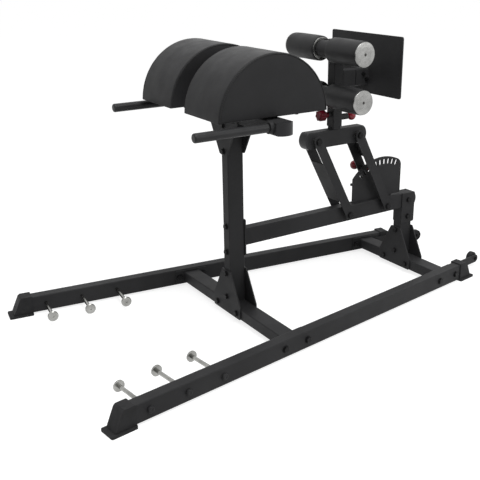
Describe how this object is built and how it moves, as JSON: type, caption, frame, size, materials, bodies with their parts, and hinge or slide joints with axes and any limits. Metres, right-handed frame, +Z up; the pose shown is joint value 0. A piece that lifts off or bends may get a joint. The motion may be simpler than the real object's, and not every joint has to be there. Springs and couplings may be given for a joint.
{
  "type": "glute ham developer",
  "caption": "Floor-standing glute ham developer: split round hip pad with hand rails, and a foot carriage with ankle rollers and foot plate that swings on parallel links over a long boom.",
  "frame": {"origin": "on the floor under the middle of the bounding box", "axes": "+X from the hand rails toward the foot plate, +Y to the left when facing +X, +Z up"},
  "size_m": [2.1988, 1.1734, 1.1985],
  "materials": {
    "frame_paint": "matt textured powder coat, charcoal black",
    "foot_rubber": "matt moulded rubber",
    "zinc_peg": "satin plated",
    "black_bolt": "black oxide",
    "steel": "turned",
    "black_plastic": "matt",
    "grip_rubber": "satin",
    "vinyl": "upholstery vinyl, fine grain",
    "board": "black stained plywood",
    "red_knob": "dark red moulded plastic",
    "foam": "skinned foam",
    "chrome": "polished",
    "wheel_rubber": "matt"
  },
  "bodies": {
    "frame": {"base_rail_left": "frame_paint", "base_rail_right": "frame_paint", "front_foot_left": "foot_rubber", "front_foot_right": "foot_rubber", "rear_foot_left": "foot_rubber", "rear_foot_right": "foot_rubber", "band_pegs_left": "zinc_peg", "band_pegs_right": "zinc_peg", "front_cross_member": "frame_paint", "rear_cross_member": "frame_paint", "frame_bolts": "black_bolt", "front_upright": "frame_paint", "front_gussets": "frame_paint", "rear_gussets": "frame_paint", "pad_brackets": "frame_paint", "pad_beam": "frame_paint", "frame_end_caps": "black_plastic", "handle_grip_left": "grip_rubber", "handle_grip_right": "grip_rubber", "pad_left": "vinyl", "pad_right": "vinyl", "pad_board_left": "board", "pad_board_right": "board", "pad_bolts": "black_bolt", "boom": "frame_paint", "rear_upright": "frame_paint", "rear_side_plate_left": "frame_paint", "rear_side_plate_right": "frame_paint", "sector_plate": "frame_paint", "sector_stop": "black_plastic", "boom_pivot_bolts": "black_bolt", "boom_pivot_bushes": "steel", "wheel_bracket_left": "frame_paint", "wheel_bracket_right": "frame_paint", "wheel_bolts": "black_bolt"},
    "front_link": {"front_link": "frame_paint"},
    "rear_link": {"rear_link": "frame_paint"},
    "latch_pin": {"latch_pin": "red_knob"},
    "carriage": {"head_frame": "frame_paint", "head_end_caps": "black_plastic", "head_pivot_bolts": "black_bolt", "head_pivot_bushes": "steel"},
    "foot_carrier": {"sleeve": "frame_paint", "sleeve_plug": "black_plastic", "roller_axles": "steel", "foot_plate": "frame_paint", "foot_plate_bolts": "black_bolt"},
    "clamp_knob": {"clamp_knob": "red_knob"},
    "pop_pin": {"pop_pin": "red_knob"},
    "roller_lower_left": {"foam_lower_left": "foam", "spool_lower_left": "chrome"},
    "roller_lower_right": {"foam_lower_right": "foam", "spool_lower_right": "chrome"},
    "roller_upper_left": {"foam_upper_left": "foam", "spool_upper_left": "chrome"},
    "roller_upper_right": {"foam_upper_right": "foam", "spool_upper_right": "chrome"},
    "transport_wheel_left": {"wheel_left": "wheel_rubber"},
    "transport_wheel_right": {"wheel_right": "wheel_rubber"}
  },
  "joints": [
    {"name": "rear_link_swing", "type": "hinge", "parent": "frame", "child": "rear_link", "pos_m": [0.61106, 0, 0.366], "axis": [0, 1, 0], "range_deg": [-13.8, 48.3]},
    {"name": "front_link_swing", "type": "hinge", "parent": "frame", "child": "front_link", "pos_m": [0.37156, 0, 0.366], "axis": [0, 1, 0], "range_deg": [-13.8, 48.3]},
    {"name": "carriage_level", "type": "hinge", "parent": "rear_link", "child": "carriage", "pos_m": [0.41567, 0, 0.74455], "axis": [0, 1, 0], "range_deg": [-48.3, 13.8]},
    {"name": "latch_pull", "type": "slide", "parent": "rear_link", "child": "latch_pin", "axis": [0, 1, 0], "range_m": [0, 0.014], "stiffness_N_per_m": 400},
    {"name": "foot_height", "type": "slide", "parent": "carriage", "child": "foot_carrier", "axis": [0, 0, 1], "range_m": [0, 0.15]},
    {"name": "clamp_turn", "type": "hinge", "parent": "foot_carrier", "child": "clamp_knob", "pos_m": [0.21992, 0, 0.84955], "axis": [-1, 0, 0], "range_deg": [0, 270]},
    {"name": "pop_pin_pull", "type": "slide", "parent": "foot_carrier", "child": "pop_pin", "axis": [1, 0, 0], "range_m": [0, 0.012], "stiffness_N_per_m": 400},
    {"name": "roller_lower_left_spin", "type": "hinge", "parent": "foot_carrier", "child": "roller_lower_left", "pos_m": [0.25392, 0.145, 0.94055], "axis": [0, 1, 0], "continuous": true},
    {"name": "roller_lower_right_spin", "type": "hinge", "parent": "foot_carrier", "child": "roller_lower_right", "pos_m": [0.25392, -0.145, 0.94055], "axis": [0, 1, 0], "continuous": true},
    {"name": "roller_upper_left_spin", "type": "hinge", "parent": "foot_carrier", "child": "roller_upper_left", "pos_m": [0.25392, 0.145, 1.13955], "axis": [0, 1, 0], "continuous": true},
    {"name": "roller_upper_right_spin", "type": "hinge", "parent": "foot_carrier", "child": "roller_upper_right", "pos_m": [0.25392, -0.145, 1.13955], "axis": [0, 1, 0], "continuous": true},
    {"name": "wheel_left_spin", "type": "hinge", "parent": "frame", "child": "transport_wheel_left", "pos_m": [1.06856, 0.20485, 0.045], "axis": [0.1309, 0.9914, 0], "continuous": true},
    {"name": "wheel_right_spin", "type": "hinge", "parent": "frame", "child": "transport_wheel_right", "pos_m": [1.06856, -0.20485, 0.045], "axis": [0.1309, -0.9914, 0], "continuous": true}
  ],
  "couplings": [
    {"joint": "front_link_swing", "follows": "rear_link_swing", "ratio": 1},
    {"joint": "carriage_level", "follows": "rear_link_swing", "ratio": -1}
  ]
}
